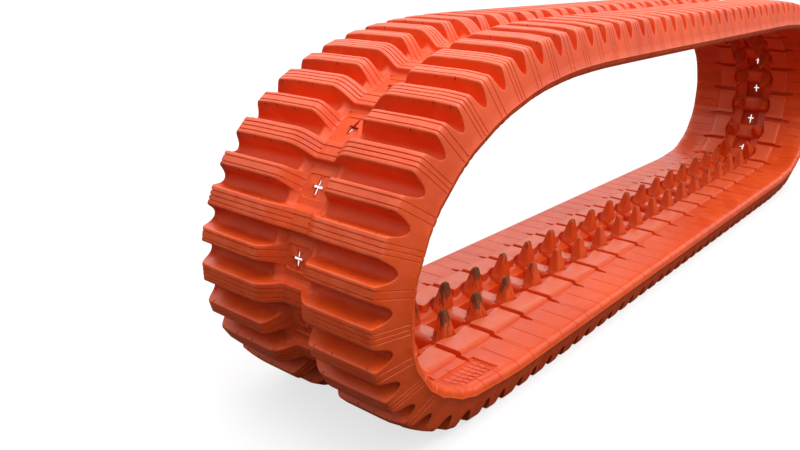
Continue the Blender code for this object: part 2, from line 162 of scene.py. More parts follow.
CAMERA_PLACE = Vector((-1.49999, -0.64893, 0.59579))
CAMERA_LOOK = Vector((0.72945, 0.60101, -0.32664))
CAMERA_RIGHT = Vector((0.63942, -0.76874, 0.01347))
CAMERA_SENSOR = 36.0
CAMERA_LENS = 35.02
camera_data = bpy.data.cameras.new("camera")
camera_data.sensor_width = CAMERA_SENSOR
camera_data.lens = CAMERA_LENS
camera = bpy.data.objects.new("camera", camera_data)
bpy.context.scene.collection.objects.link(camera)
camera_up = CAMERA_RIGHT.cross(CAMERA_LOOK)
turned = Matrix((CAMERA_RIGHT, camera_up, -CAMERA_LOOK)).transposed()
camera.matrix_world = Matrix.Translation(CAMERA_PLACE) @ turned.to_4x4()
bpy.context.scene.camera = camera


# MOULDED RUBBER
# Orange rubber vulcanised in a mould: tread lugs outside, roller pads and thick edges inside, and
# a window for the sprocket between every two cores. Modelled flat from one core to the next.

HALF_PITCH = PITCH / 2
TRACK_EDGE = 0.1654
PARTING_Z = -0.0058               # the parting line, where the shoulders meet the flank
CARCASS_OUT = 0.010
CARCASS_IN = 0.012                # depth between the roller pads
WINDOW_END = 0.020                # from a core's middle to the window
WINDOW_SIDE = 0.022
BRIDGE_TOP = 0.020                # pad that joins the two halves of a wide lug
BRIDGE_SIDE = 0.0130
BRIDGE_STEP = 0.0012
WIDE_SLOPE_FOOT_Y = 0.0155
WIDE_SLOPE_TOP_Y = 0.0385         # a lug's inner slope rolls over into its flat top here
NARROW_SLOPE_FOOT_Y = 0.0245
NARROW_SLOPE_TOP_Y = 0.0405
SLOPE_ROUND = 0.012
FOOT_ROUND = 0.005
SHOULDER_Y = 0.149
SHOULDER_ROUND = 0.009
WIDE_TOP = 0.0128                 # half widths of the lugs at their tops
NARROW_TOP = 0.0098
POCKET_MIDDLE = 0.0235
POCKET_FOOT = 0.74                # share of its width that a pocket keeps at its floor
POCKET_HOLLOW = 0.0070
POCKET_BEND = (0.0235, 0.040)     # across the track, a pocket's middle moves off the window's end
POCKET_LIP = 0.005                # a floor blends into the lug's face over this height
HOLLOW_SHARE = 0.5                # a hollow and a rim take at most these shares of a pocket's depth
RIM_SHARE = 0.35
RING_STEP = 0.010                 # least step between rings of a pocket's end, to its half width
LUG_ROUND = 0.0022
BOWL_START_Y = 0.1435             # a pocket's rounded outer end
BOWL_LENGTH = 0.0165
BOWL_LIFT = 0.0045
RIDGE_Y = 0.0315                  # low ridge that closes a pocket toward the middle
RIDGE_RISE = 0.0072
RIDGE_SPREAD = 0.0072
WIDE_GROOVE = 0.0063
NARROW_GROOVE = 0.0046
GROOVE_HALF = 0.00085
GROOVE_FLOOR = 0.00040
GROOVE_DEPTH = 0.0019
GROOVE_RUN_IN = 0.0012
PAD_TOP = 0.0235
PAD_END = 0.0375
PAD_SIDE = 0.0890
PAD_DRAFT = 0.0022
PAD_INNER = 0.0455
PAD_ROUND = 0.0018
PAD_EDGE_SHARE = 0.25             # a pad's outer side starts this share of its rounding down
SADDLE_TOP = 0.0142               # rubber over the bar that the sprocket drives
SADDLE_EDGE = 0.0045
SADDLE_SIDE = 0.0215
SILL_DEPTH = 0.0055               # a window's side wall rounds off toward the inside
SILL_END = 0.0400
SKIRT_REACH = 0.0520              # the rubber that rises round a horn's foot
SKIRT_HALF = 0.0300
SKIRT_RISE = 0.0060
SKIRT_FOOT = 0.0060
SKIRT_START_Y = 0.036
SKIRT_LEVEL = 0.003
SKIRT_END_Y = 0.072
FLANGE_FOOT = 0.0190              # depth of the thick edge beside the pads, and at its bevel
FLANGE_RIM = 0.0180
FLANGE_FOOT_Y = 0.091
FLANGE_RIM_Y = 0.154
NOTCH_DEPTH = 0.0126              # the gap between pads runs on into the edge as a notch
NOTCH_X = 0.0386
NOTCH_END_Y = 0.1020
STUB_X = 0.0412
STUB_END_Y = 0.1085
STUB_DEPTH = 0.0150
LINE_START_Y = 0.0985             # fine lines across the edge: one per pad, a pair per gap
LINE_MIDDLE = 0.0005
LINE_AT = 0.0400
LINE_HALF = 0.0003
LINE_DEPTH = 0.0012
EDGE_LINE_DEPTH = 0.0006

# rows of points across the track and columns along it, in millimetres
OUTER_ROWS = (0, 6, 11, 13, 14.2, 16.5, 19, 21, 22, 23.2, 24.6, 26.2, 28, 30, 32, 34, 35.5, 37,
              38.5, 40, 42, 45, 50, 60, 75, 90, 105, 118, 128, 134, 138, 141, 143.6, 146, 148.2,
              150, 151.6, 153, 154.2, 155.2, 156, 156.6, 157.2, 158.2, 161.5, 164.6)
FLANK_ROWS = ((165.6, -5.0), (166.0, -5.8), (165.5, -6.7), (165.1, -9.4), (164.2, -12.2),
              (162.5, -14.7), (160.0, -16.6), (157.1, -17.7), (154.2, -18.0))
INNER_ROWS = (148, 138, 125, 112, 109, 108, 103.4, 102.2, 101, 98, 93, 91.4, 90.6, 89.4, 88.6,
              87.4, 82, 72, 62, 55, 49.5, 47.4, 46.4, 45.8, 45.4, 43.5, 41, 36, 31, 27, 23.5, 22,
              20, 17, 13, 9, 4, 0)
FIRST_LINED_ROW = 3               # rows of the flank from here on carry the fine lines
EDGE_LINE_X = (0, 0.45, 39.5, 40.0)   # the columns that those lines run down
WINDOW_ROW_OUT = OUTER_ROWS.index(22)
WINDOW_ROW_IN = INNER_ROWS.index(22)
WINDOW_COLUMN = 15
COLUMNS = 28
INNER_X = (0, 0.45, 0.9, 4, 7.5, 10, 12, 13.5, 15, 16.2, 17.2, 18, 18.7, 19.3, 19.7, 20,
           24, 29, 34, 36.2, 37.0, 37.5, 38.3, 39.0, 39.5, 40.0, 40.6, 41.5, 43)


def smooth(value, start, end):
    share = min(max((value - start) / (end - start), 0.0), 1.0)
    return share * share * (3 - 2 * share)


def soft_min(a, b, blend):
    share = max(blend - abs(a - b), 0.0) / blend
    return min(a, b) - share * share * blend / 4


def lug_height(y, wide):
    """Height of a lug's face across the track."""
    slope = (LUG_TOP - PARTING_Z) / (TRACK_EDGE - SHOULDER_Y)
    top = soft_min(LUG_TOP, PARTING_Z + (TRACK_EDGE - y) * slope, SHOULDER_ROUND)
    if y > SHOULDER_Y:
        return top
    if wide and y < BRIDGE_SIDE + 1e-6:
        return BRIDGE_TOP
    if wide:
        foot, start, end = BRIDGE_TOP - BRIDGE_STEP, WIDE_SLOPE_FOOT_Y, WIDE_SLOPE_TOP_Y
    else:
        foot, start, end = CARCASS_OUT, NARROW_SLOPE_FOOT_Y, NARROW_SLOPE_TOP_Y
    rise = -soft_min(-foot, -(foot + (LUG_TOP - foot) * (y - start) / (end - start)), FOOT_ROUND)
    if not wide and y < WINDOW_SIDE + 1e-6:
        return CARCASS_OUT
    return max(soft_min(rise, top, SLOPE_ROUND), CARCASS_OUT)


def pocket_floor(y):
    """Height of a pocket's floor across the track: a ridge, a level stretch and a rising end."""
    ridge = RIDGE_RISE * math.exp(-((y - RIDGE_Y) / RIDGE_SPREAD) ** 2)
    share = max(y - BOWL_START_Y, 0.0) / BOWL_LENGTH
    return CARCASS_OUT + ridge + BOWL_LIFT * min(share, 1.0) ** 2


def pocket_side(y, head, centre):
    """One side of a pocket, from a lug's face to the pocket's middle, as x and height. The outer
    end is this profile turned about the pocket's middle, which leaves a round bowl."""
    top = lug_height(y, head == WIDE_TOP)
    reach = centre - head
    floor = soft_min(pocket_floor(y), top, POCKET_LIP)
    turn = min(LUG_ROUND, max(top - floor, 0.0) * RIM_SHARE)
    low = floor + min(POCKET_HOLLOW, max(top - floor, 0.0) * HOLLOW_SHARE)

    def wall(height):
        rise = (height - CARCASS_OUT) / (LUG_TOP - CARCASS_OUT)
        return POCKET_FOOT + (1 - POCKET_FOOT) * rise

    profile = []
    for angle in (0, 30, 60, 90):
        fall = turn * (1 - math.cos(math.radians(angle)))
        run = turn * (1 - math.sin(math.radians(angle)))
        profile.append((wall(top - fall) + run / reach, top - fall))
    profile.append((wall((top - turn + low) / 2), (top - turn + low) / 2))
    for angle in (0, 25, 52, 90):
        share = math.radians(angle)
        profile.append((wall(low) * math.cos(share), floor + (low - floor) * (1 - math.sin(share))))
    past = max(y - BOWL_START_Y, 0.0) / BOWL_LENGTH
    spots = []
    for step, (radius, height) in enumerate(profile):
        left = radius * radius - past * past
        spare = (len(profile) - 1 - step) * RING_STEP
        if left <= spare * spare:
            height = np.interp(past, [spot[0] for spot in profile[::-1]],
                               [spot[1] for spot in profile[::-1]])
            spots.append((centre - spare * reach, height))
        else:
            spots.append((centre - math.sqrt(left) * reach, height))
    return spots


def tread_section(y):
    """Points across half a wide lug, a pocket and half a narrow lug, as x and height."""
    bottom = WINDOW_END + (POCKET_MIDDLE - WINDOW_END) * smooth(y, *POCKET_BEND)
    wide = lug_height(y, True)
    narrow = lug_height(y, False)
    middle_cut = GROOVE_DEPTH * smooth(y, BRIDGE_SIDE, BRIDGE_SIDE + GROOVE_RUN_IN)
    narrow_cut = GROOVE_DEPTH if y > SHOULDER_Y else min(GROOVE_DEPTH, narrow - CARCASS_OUT)
    points = [(0.0, wide - middle_cut), (GROOVE_FLOOR, wide - middle_cut), (GROOVE_HALF, wide)]
    for at, cut in ((-GROOVE_HALF, 0), (-GROOVE_FLOOR, GROOVE_DEPTH), (GROOVE_FLOOR, GROOVE_DEPTH),
                    (GROOVE_HALF, 0)):
        points.append((WIDE_GROOVE + at, wide - cut))
    points.extend(pocket_side(y, WIDE_TOP, bottom))
    for x, height in reversed(pocket_side(y, NARROW_TOP, HALF_PITCH - bottom)[:-1]):
        points.append((HALF_PITCH - x, height))
    for at, cut in ((-GROOVE_HALF, 0), (-GROOVE_FLOOR, narrow_cut), (GROOVE_FLOOR, narrow_cut),
                    (GROOVE_HALF, 0)):
        points.append((HALF_PITCH - NARROW_GROOVE + at, narrow - cut))
    points.append((HALF_PITCH, narrow))
    return points


def inner_depth(x, y):
    """How far the inside of the track stands off the pitch line."""
    past_foot = (y - FLANGE_FOOT_Y) / (FLANGE_RIM_Y - FLANGE_FOOT_Y)
    flange = FLANGE_FOOT + (FLANGE_RIM - FLANGE_FOOT) * past_foot
    if y > PAD_SIDE + PAD_DRAFT - 1e-6:
        if x >= NOTCH_X and y < NOTCH_END_Y:
            return NOTCH_DEPTH
        if x >= STUB_X and y < STUB_END_Y:
            return STUB_DEPTH
        line = x < LINE_MIDDLE or abs(x - LINE_AT) < LINE_HALF
        if line and y > LINE_START_Y:
            return flange - LINE_DEPTH
        return flange
    if y < SADDLE_SIDE and x < WINDOW_END + 1e-6:
        return SADDLE_EDGE + (SADDLE_TOP - SADDLE_EDGE) * (1 - (x / WINDOW_END) ** 4.0) ** 0.5
    past_end = PAD_END - x
    past_side = PAD_SIDE - y
    past_inner = y - PAD_INNER
    if x > WINDOW_END - 1e-6 and y < SILL_END:
        return SILL_DEPTH + (CARCASS_IN - SILL_DEPTH) * smooth(y, WINDOW_SIDE, SILL_END)
    if past_end <= 0:
        return CARCASS_IN
    if past_inner <= 0:
        return CARCASS_IN + skirt_rise(x) * smooth(y, PAD_INNER - SKIRT_FOOT, PAD_INNER)
    if past_side <= 0:
        return min(PAD_TOP - (PAD_TOP - FLANGE_FOOT) * -past_side / PAD_DRAFT,
                   PAD_TOP - PAD_ROUND * PAD_EDGE_SHARE)
    inside = min(past_end, past_side, past_inner)
    if inside >= PAD_ROUND:
        return PAD_TOP
    return PAD_TOP - PAD_ROUND + math.sqrt(PAD_ROUND ** 2 - (PAD_ROUND - inside) ** 2)


def skirt_rise(x):
    """How far the rubber climbs a horn's foot beside the pad."""
    return SKIRT_RISE * math.cos(math.pi / 2 * min(x / SKIRT_HALF, 1.0)) ** 2


def skirt_push(x, y):
    """How far a horn's foot pushes the pad's inner edge outward."""
    reach = (SKIRT_REACH - PAD_INNER) * math.cos(math.pi / 2 * min(x / SKIRT_HALF, 1.0)) ** 2
    fade = 1 - smooth(y, PAD_INNER + SKIRT_LEVEL, SKIRT_END_Y)
    return reach * smooth(y, SKIRT_START_Y, PAD_INNER) * fade


def quarter_of_rubber():
    """A quarter of the rubber between two cores, from the middle of the tread round to the inside."""
    rows = []
    for y in OUTER_ROWS:
        y *= 0.001
        rows.append([(x, y, z) for x, z in tread_section(y)])
    edge = [spot[0] for spot in rows[-1]]
    for step, (y, z) in enumerate(FLANK_ROWS):
        share = (step + 1) / (len(FLANK_ROWS) + 1)
        row = []
        for a, b in zip(edge, INNER_X):
            x = a + (b * 0.001 - a) * share
            cut = EDGE_LINE_DEPTH if step >= FIRST_LINED_ROW and b in EDGE_LINE_X else 0.0
            row.append((x, y * 0.001 - cut, z * 0.001 + cut))
        rows.append(row)
    for y in INNER_ROWS:
        y *= 0.001
        rows.append([(x * 0.001, y + skirt_push(x * 0.001, y), -inner_depth(x * 0.001, y))
                     for x in INNER_X])
    shape = bmesh.new()
    bmesh.ops.create_grid(shape, x_segments=COLUMNS, y_segments=len(rows) - 1, size=0.5)
    table = {}
    for vert in shape.verts:
        column = round((vert.co.x + 0.5) * COLUMNS)
        row = round((vert.co.y + 0.5) * (len(rows) - 1))
        vert.co = rows[row][column]
        table[vert] = (row, column)
    first_inner = len(OUTER_ROWS) + len(FLANK_ROWS) + WINDOW_ROW_IN
    opening = []
    for face in shape.faces:
        spots = [table[vert] for vert in face.verts]
        if min(spot[1] for spot in spots) >= WINDOW_COLUMN:
            if max(spot[0] for spot in spots) <= WINDOW_ROW_OUT:
                opening.append(face)
            elif min(spot[0] for spot in spots) >= first_inner:
                opening.append(face)
    bmesh.ops.delete(shape, geom=opening, context="FACES")
    rim = []
    for edge in shape.edges:
        if len(edge.link_faces) != 1:
            continue
        spots = [table[vert] for vert in edge.verts]
        columns = {spot[1] for spot in spots}
        lines = {spot[0] for spot in spots}
        if columns == {WINDOW_COLUMN} or lines in ({WINDOW_ROW_OUT}, {first_inner}):
            rim.append(edge)
    bmesh.ops.bridge_loops(shape, edges=rim)
    return shape


def mirror_over(shape, axis, place):
    """Join a half with its mirror image."""
    copy = bmesh.ops.duplicate(shape, geom=shape.verts[:] + shape.edges[:] + shape.faces[:])
    for item in copy["geom"]:
        if isinstance(item, bmesh.types.BMVert):
            item.co[axis] = 2 * place - item.co[axis]
    faces = [item for item in copy["geom"] if isinstance(item, bmesh.types.BMFace)]
    bmesh.ops.reverse_faces(shape, faces=faces)
    seam = [vert for vert in shape.verts if abs(vert.co[axis] - place) < 1e-7]
    bmesh.ops.remove_doubles(shape, verts=seam, dist=1e-6)


def face_outward(shape):
    bmesh.ops.recalc_face_normals(shape, faces=shape.faces)
    if shape.calc_volume(signed=True) < 0:
        bmesh.ops.reverse_faces(shape, faces=shape.faces)


SHARP = math.radians(38)


def finish_mesh(shape, mesh):
    """Smooth shading with crisp edges where two faces meet at a steep angle."""
    for face in shape.faces:
        face.smooth = True
    for edge in shape.edges:
        if len(edge.link_faces) == 2:
            edge.smooth = edge.calc_face_angle() < SHARP
    shape.to_mesh(mesh)
    shape.free()
    mesh.update()


def keep_flat_place(mesh):
    """Keep each point's place in the flat moulding, so that wear, dirt and the painted sheen can
    follow the surface.
    """
    flat = np.zeros(len(mesh.vertices) * 3)
    mesh.vertices.foreach_get("co", flat)
    place = mesh.attributes.new("flat_place", "FLOAT_VECTOR", "POINT")
    place.data.foreach_set("vector", flat)


rubber_quarter = quarter_of_rubber()
mirror_over(rubber_quarter, 1, 0.0)
mirror_over(rubber_quarter, 0, HALF_PITCH)
between_cores = bpy.data.meshes.new("between_cores")
rubber_quarter.to_mesh(between_cores)
rubber_quarter.free()


def close_ends(shape):
    loose = [edge for edge in shape.edges if edge.is_boundary]
    bmesh.ops.holes_fill(shape, edges=loose, sides=0)


SLIT_HALF = 0.0002
SLIT_TILT = math.radians(2.1)


def trim_at(shape, along, keep_before):
    """Cut a flat piece across and close the cut. The end is cut back a little to both sides of the
    pitch line, so that it can rock against its neighbour."""
    shift = -SLIT_HALF if keep_before else SLIT_HALF
    for tilt in (-SLIT_TILT, SLIT_TILT):
        bmesh.ops.bisect_plane(shape, geom=shape.verts[:] + shape.edges[:] + shape.faces[:],
                               dist=1e-6, plane_co=(along + shift, 0, 0),
                               plane_no=(math.cos(tilt), 0, math.sin(tilt)),
                               clear_outer=keep_before, clear_inner=not keep_before)
        close_ends(shape)


PANEL = ((15.35, 16.42), (-0.1490, -0.1060))      # a sunk panel: pitches along, metres across
PANEL_DEPTH = 0.0024
PANEL_WALL = 0.0009
PANEL_MARGIN = 0.03               # the cuts for the panel reach this far past it
FLANGE_LEVELS = (-0.0200, -0.0150)    # the flange's faces lie between these heights


def sink_panel(run):
    """Sink a shallow panel into the inside face of the near edge."""
    (first, last), (outer, inner) = PANEL
    low = Vector((first * PITCH, outer))
    high = Vector((last * PITCH, inner))

    def on_flange(face, margin):
        middle = face.calc_center_median()
        return (FLANGE_LEVELS[0] < middle.z < FLANGE_LEVELS[1]
                and low.x - margin < middle.x < high.x + margin
                and low.y - margin < middle.y < high.y + margin)

    for spot, way in ((low, (1, 0, 0)), (high, (1, 0, 0)), (low, (0, 1, 0)), (high, (0, 1, 0))):
        faces = [face for face in run.faces if on_flange(face, PANEL_MARGIN)]
        edges = {edge for face in faces for edge in face.edges}
        verts = {vert for face in faces for vert in face.verts}
        bmesh.ops.bisect_plane(run, geom=faces + list(edges) + list(verts), dist=1e-6,
                               plane_co=(spot.x, spot.y, 0), plane_no=way)
    sunk = [face for face in run.faces if on_flange(face, 0.0)]
    bmesh.ops.inset_region(run, faces=sunk, thickness=PANEL_WALL, depth=0.0, use_even_offset=True)
    floor = {vert for face in sunk for vert in face.verts}
    bmesh.ops.translate(run, verts=list(floor), vec=(0, 0, PANEL_DEPTH))


def run_of_rubber(name, first, last, cut=None):
    """The rubber from one core to another, closed at both ends, still flat."""
    run = bmesh.new()
    for link in range(first, last):
        run.from_mesh(between_cores)
        run.verts.ensure_lookup_table()
        fresh = run.verts[-len(between_cores.vertices):]
        bmesh.ops.translate(run, verts=fresh, vec=(link * PITCH, 0, 0))
    for link in range(first + 1, last):
        seam = [vert for vert in run.verts if abs(vert.co.x - link * PITCH) < 1e-7]
        bmesh.ops.remove_doubles(run, verts=seam, dist=1e-6)
    close_ends(run)
    if cut:
        trim_at(run, cut[0] * PITCH, cut[1])
    face_outward(run)
    if first < PANEL[0][0] and last > PANEL[0][1]:
        sink_panel(run)
    mesh = bpy.data.meshes.new(name)
    finish_mesh(run, mesh)
    return mesh


def new_look(name):
    look = bpy.data.materials.new(name)
    look.use_nodes = True
    return look, look.node_tree, look.node_tree.nodes["Principled BSDF"]


def plug(tree, value, socket):
    """Link an output to a socket, or set a plain number or colour on it."""
    if isinstance(value, bpy.types.NodeSocket):
        tree.links.new(value, socket)
    else:
        socket.default_value = value


def flat_place(tree):
    """A point's place in the flat moulding, whole and by its parts."""
    place = tree.nodes.new("ShaderNodeAttribute")
    place.attribute_name = "flat_place"
    split = tree.nodes.new("ShaderNodeSeparateXYZ")
    tree.links.new(place.outputs["Vector"], split.inputs[0])
    return place.outputs["Vector"], split.outputs


def noise(tree, place, scale, detail, rough=0.5):
    node = tree.nodes.new("ShaderNodeTexNoise")
    node.inputs["Scale"].default_value = scale
    node.inputs["Detail"].default_value = detail
    node.inputs["Roughness"].default_value = rough
    tree.links.new(place, node.inputs["Vector"])
    return node.outputs["Fac"]


def ranged(tree, value, *ends, curve="SMOOTHSTEP"):
    """Carry a value from one range to another: its low and high end, then the new ones."""
    node = tree.nodes.new("ShaderNodeMapRange")
    node.interpolation_type = curve
    for socket, end in zip(node.inputs[1:5], ends):
        socket.default_value = end
    tree.links.new(value, node.inputs[0])
    return node.outputs[0]


def maths(tree, operation, *values):
    node = tree.nodes.new("ShaderNodeMath")
    node.operation = operation
    for value, socket in zip(values, node.inputs):
        plug(tree, value, socket)
    return node.outputs[0]


def stain(tree, under, share, tint):
    """A tint laid over a colour by a share."""
    node = tree.nodes.new("ShaderNodeMix")
    node.data_type = "RGBA"
    plug(tree, share, node.inputs[0])
    plug(tree, under, node.inputs[6])
    plug(tree, tint, node.inputs[7])
    return node.outputs[2]


def add_relief(tree, shader, height, strength, distance):
    bump = tree.nodes.new("ShaderNodeBump")
    bump.inputs["Strength"].default_value = strength
    bump.inputs["Distance"].default_value = distance
    tree.links.new(height, bump.inputs["Height"])
    tree.links.new(bump.outputs[0], shader.inputs["Normal"])


RUBBER_COLOUR = (0.83, 0.090, 0.011)
RUBBER_ROUGHNESS = 0.36
SCUFF_COLOUR = (0.10, 0.035, 0.02, 1)
DIRT_COLOUR = (0.30, 0.045, 0.015, 1)


def rubber_look(name, colour, roughness):
    """Moulded rubber: mottled orange, pale on the tops with dust and painted sheen, scuffed, dirty
    and finely grained.
    """
    look, tree, shader = new_look(name)
    shader.inputs["Specular IOR Level"].default_value = 0.5
    place = tree.nodes.new("ShaderNodeTexCoord").outputs["Object"]
    flat = flat_place(tree)[1]
    height = flat["Z"]
    clouds = noise(tree, place, 9.0, 4.0, 0.55)
    patches = noise(tree, place, 38.0, 5.0, 0.62)
    grain = noise(tree, place, 1400.0, 2.0, 0.55)
    scuffs = noise(tree, place, 170.0, 3.0, 0.7)
    streaks = noise(tree, place, 60.0, 6.0, 0.75)
    red, green, blue = colour
    deep = (red * 0.86, green * 0.72, blue * 0.65, 1)
    pale = (min(red * 1.06, 1), green * 1.30, blue * 1.5, 1)
    dust_and_sheen_tone = (min(red * 1.06, 1), green * 1.75, blue * 5.5, 1)
    tone = stain(tree, (red, green, blue, 1), ranged(tree, clouds, 0.38, 0.66, 0.0, 0.75), deep)
    tone = stain(tree, tone, ranged(tree, patches, 0.50, 0.70, 0.0, 0.55), pale)

    # the lugs' tops and the roller pads are paled partly by dust and partly by a painted sheen, and
    # the saddles over the cores' bars by a painted sheen alone
    lug_tops = ranged(tree, height, 0.0385, 0.0418, 0.0, 1.0)
    lug_dust_and_sheen = maths(tree, "MULTIPLY", lug_tops, ranged(tree, patches, 0.34, 0.62, 0.05, 0.38))
    tone = stain(tree, tone, lug_dust_and_sheen, dust_and_sheen_tone)
    pad_tops = ranged(tree, height, -0.0200, -0.0232, 0.0, 1.0)
    pad_dust_and_sheen = maths(tree, "MULTIPLY", pad_tops, ranged(tree, clouds, 0.3, 0.6, 0.35, 0.75))
    tone = stain(tree, tone, pad_dust_and_sheen, dust_and_sheen_tone)
    # on the saddles the pale tint is painted sheen alone
    saddle = maths(tree, "MULTIPLY", ranged(tree, height, -0.0110, -0.0138, 0.0, 1.0),
                   ranged(tree, height, -0.0160, -0.0150, 0.0, 1.0))
    across = maths(tree, "ABSOLUTE", flat["Y"])
    saddle = maths(tree, "MULTIPLY", saddle, ranged(tree, across, 0.0205, 0.0160, 0.0, 0.9))
    tone = stain(tree, tone, saddle, dust_and_sheen_tone)

    # dark scuffs toward the lugs' tops, and dirt in streaks all over
    scuffed = maths(tree, "MULTIPLY", ranged(tree, scuffs, 0.68, 0.76, 0.0, 0.75),
                    ranged(tree, height, 0.034, 0.042, 0.0, 1.0))
    tone = stain(tree, tone, scuffed, SCUFF_COLOUR)
    dirt = maths(tree, "MULTIPLY", ranged(tree, streaks, 0.60, 0.74, 0.0, 0.28),
                 ranged(tree, patches, 0.45, 0.60, 0.0, 1.0))
    tone = stain(tree, tone, dirt, DIRT_COLOUR)
    tree.links.new(tone, shader.inputs["Base Color"])

    # smoother on the saddles, rougher down in the pockets
    polish = maths(tree, "MULTIPLY",
                   ranged(tree, patches, 0.3, 0.7, roughness - 0.07, roughness + 0.10),
                   ranged(tree, saddle, 0.0, 0.9, 1.0, 0.6))
    hollow = maths(tree, "MULTIPLY", ranged(tree, height, 0.002, 0.006, 1.0, 1.5),
                   ranged(tree, height, 0.014, 0.030, 1.0, 0.667))
    tree.links.new(maths(tree, "MULTIPLY", polish, hollow), shader.inputs["Roughness"])
    add_relief(tree, shader, maths(tree, "MULTIPLY_ADD", patches, 5.0, grain), 0.45, 0.00035)
    return look


rubber = rubber_look("orange_rubber_look", RUBBER_COLOUR, RUBBER_ROUGHNESS)


def lay_and_dress(name, mesh, look):
    """Bend a finished flat mesh round the loop and make it a piece."""
    keep_flat_place(mesh)
    lay_on_loop(mesh)
    mesh.materials.append(look)
    piece = bpy.data.objects.new(name, mesh)
    bpy.context.scene.collection.objects.link(piece)
    return piece


def ride_or_bend(piece, core):
    """Tie a piece that lies between two cores to the body that carries it. A piece over a flexing gap
    is only baked in place and tied to no body.
    """
    for _, gap, before, after in FLEXING_GAPS:
        if gap == core:
            loop_point(core + 0.22)
            loop_point(core + 0.78)
            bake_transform(piece)
            return
    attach(piece, body_of_core((core + 1) % LINKS if core == OPEN_GAP else core))


RUBBER_RUNS = (
    ("tread_ground_rear", 0, 5, "ground_run"),
    ("tread_ground_middle", 5, 10, "ground_run"),
    ("tread_ground_front", 10, 15, "ground_run"),
    ("tread_front_lower", 17, 19, "front_lower_bend"),
    ("tread_front_upper", 20, 23, "front_upper_bend"),
    ("tread_top_front", 24, 29, "top_run"),
    ("tread_top_middle", 29, 34, "top_run"),
    ("tread_top_rear", 34, 38, "top_run"),
    ("tread_rear_upper", 39, 42, "rear_upper_bend"),
    ("tread_rear_lower", 43, 46, "rear_lower_bend"),
)
FLEXING_GAPS = (
    ("flex_front_ground", 15, "ground_run", "front_lower_bend"),
    ("flex_front_middle", 19, "front_lower_bend", "front_upper_bend"),
    ("flex_front_top", 23, "front_upper_bend", "top_run"),
    ("flex_rear_top", 38, "top_run", "rear_upper_bend"),
    ("flex_rear_middle", 42, "rear_upper_bend", "rear_lower_bend"),
)
OPEN_GAP = 46                     # the loop is free to part here, at a slit that is shut at rest
OPEN_SLIT = 46.605
LAST_CORES = ((15, "ground_run"), (19, "front_lower_bend"), (23, "front_upper_bend"),
              (38, "top_run"), (42, "rear_upper_bend"), (46, "rear_lower_bend"))


def body_of_core(core):
    return next(body for last, body in LAST_CORES if core <= last)


stood_in = set()
for name, first, last, body in RUBBER_RUNS:
    piece = lay_and_dress(name, run_of_rubber(name, first, last), rubber)
    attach(piece, body)
    if body not in stood_in:
        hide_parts("rubber_" + body)
        stood_in.add(body)
for name, core, before, after in FLEXING_GAPS:
    last = core + 2 if core < PANEL[0][1] < core + 2 else core + 1
    piece = lay_and_dress(name, run_of_rubber(name, core, last), rubber)
    ride_or_bend(piece, core)
for name, before_slit, body in (("flex_rear_ground", True, "rear_lower_bend"),
                                ("flex_ground_end", False, "ground_run")):
    mesh = run_of_rubber(name, OPEN_GAP, OPEN_GAP + 1, cut=(OPEN_SLIT, before_slit))
    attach(lay_and_dress(name, mesh, rubber), body)


# SUNK PANEL
# The shallow panel in the near edge is moulded in one with the rubber. Thin raised lines cross it
# as a plain grid. Each line is made of short bars, so that it follows the rolled edge.

GRID_HALF = 0.0004
GRID_RISE = 0.0008
GRID_COLUMNS = 8
GRID_ROWS = 3
GRID_MARGIN = 0.004
FLANGE_AT_PANEL = 0.0186

(panel_first, panel_last), (panel_outer, panel_inner) = PANEL
panel_floor = PANEL_DEPTH - FLANGE_AT_PANEL
grid_start = panel_first * PITCH + GRID_MARGIN
grid_end = panel_last * PITCH - GRID_MARGIN
grid_width = panel_inner - panel_outer - 2 * GRID_MARGIN
grid = bmesh.new()


def grid_bar(x, y, along, across):
    bar = bmesh.ops.create_cube(grid, size=1.0)
    bmesh.ops.scale(grid, verts=bar["verts"], vec=(along, across, 2 * GRID_RISE))
    bmesh.ops.translate(grid, verts=bar["verts"], vec=(x, y, panel_floor))


for line in range(GRID_COLUMNS + 1):
    x = grid_start + (grid_end - grid_start) * line / GRID_COLUMNS
    length = grid_width / GRID_COLUMNS
    for part in range(GRID_COLUMNS):
        grid_bar(x, panel_outer + GRID_MARGIN + (part + 0.5) * length, 2 * GRID_HALF, length)
for line in range(GRID_ROWS + 1):
    y = panel_outer + GRID_MARGIN + grid_width * line / GRID_ROWS
    length = (grid_end - grid_start) / GRID_COLUMNS / 2
    for part in range(2 * GRID_COLUMNS):
        grid_bar(grid_start + (part + 0.5) * length, y, length, 2 * GRID_HALF)
mesh = bpy.data.meshes.new("panel_grid")
finish_mesh(grid, mesh)
ride_or_bend(lay_and_dress("panel_grid", mesh, rubber), 15)


# WINDOW SKINS
# A thin skin of rubber is left across each window by the mould. The sprocket's first turn tears it
# into a small star in the middle, and the flaps stay.

SKIN_OUT = 0.0098
SKIN_THICKNESS = 0.0012
SKIN_END = 0.0190                 # from a core's middle, held in the window's end
SKIN_SIDE = 0.0226
SKIN_LEDGE_X = 0.0150             # half size of the thinner middle of the skin
SKIN_LEDGE_Y = 0.0190
SKIN_BEVEL = 0.0008
SKIN_DROP = 0.0012
TEAR_LONG = 0.0150
TEAR_SHORT = 0.0085
TEAR_THIRD = 0.75                 # the third arm's length, as a share of the first one's
TEAR_WIDTH = 0.0017
TEAR_LIP = 0.0025
TEAR_CURL = 0.0006
TEAR_LEAST = 0.70                 # an arm's length, as a share, and how much more it may be
TEAR_MORE = 0.5
TEAR_SWING = 0.35
TEAR_SHIFT_X = 0.003
TEAR_SHIFT_Y = 0.004
SPOKES = 32
RINGS = 5


def chance(seed):
    """A fixed number between 0 and 1 for each seed."""
    return math.sin(seed * 12.9898 + 4.1) * 43758.5453 % 1.0


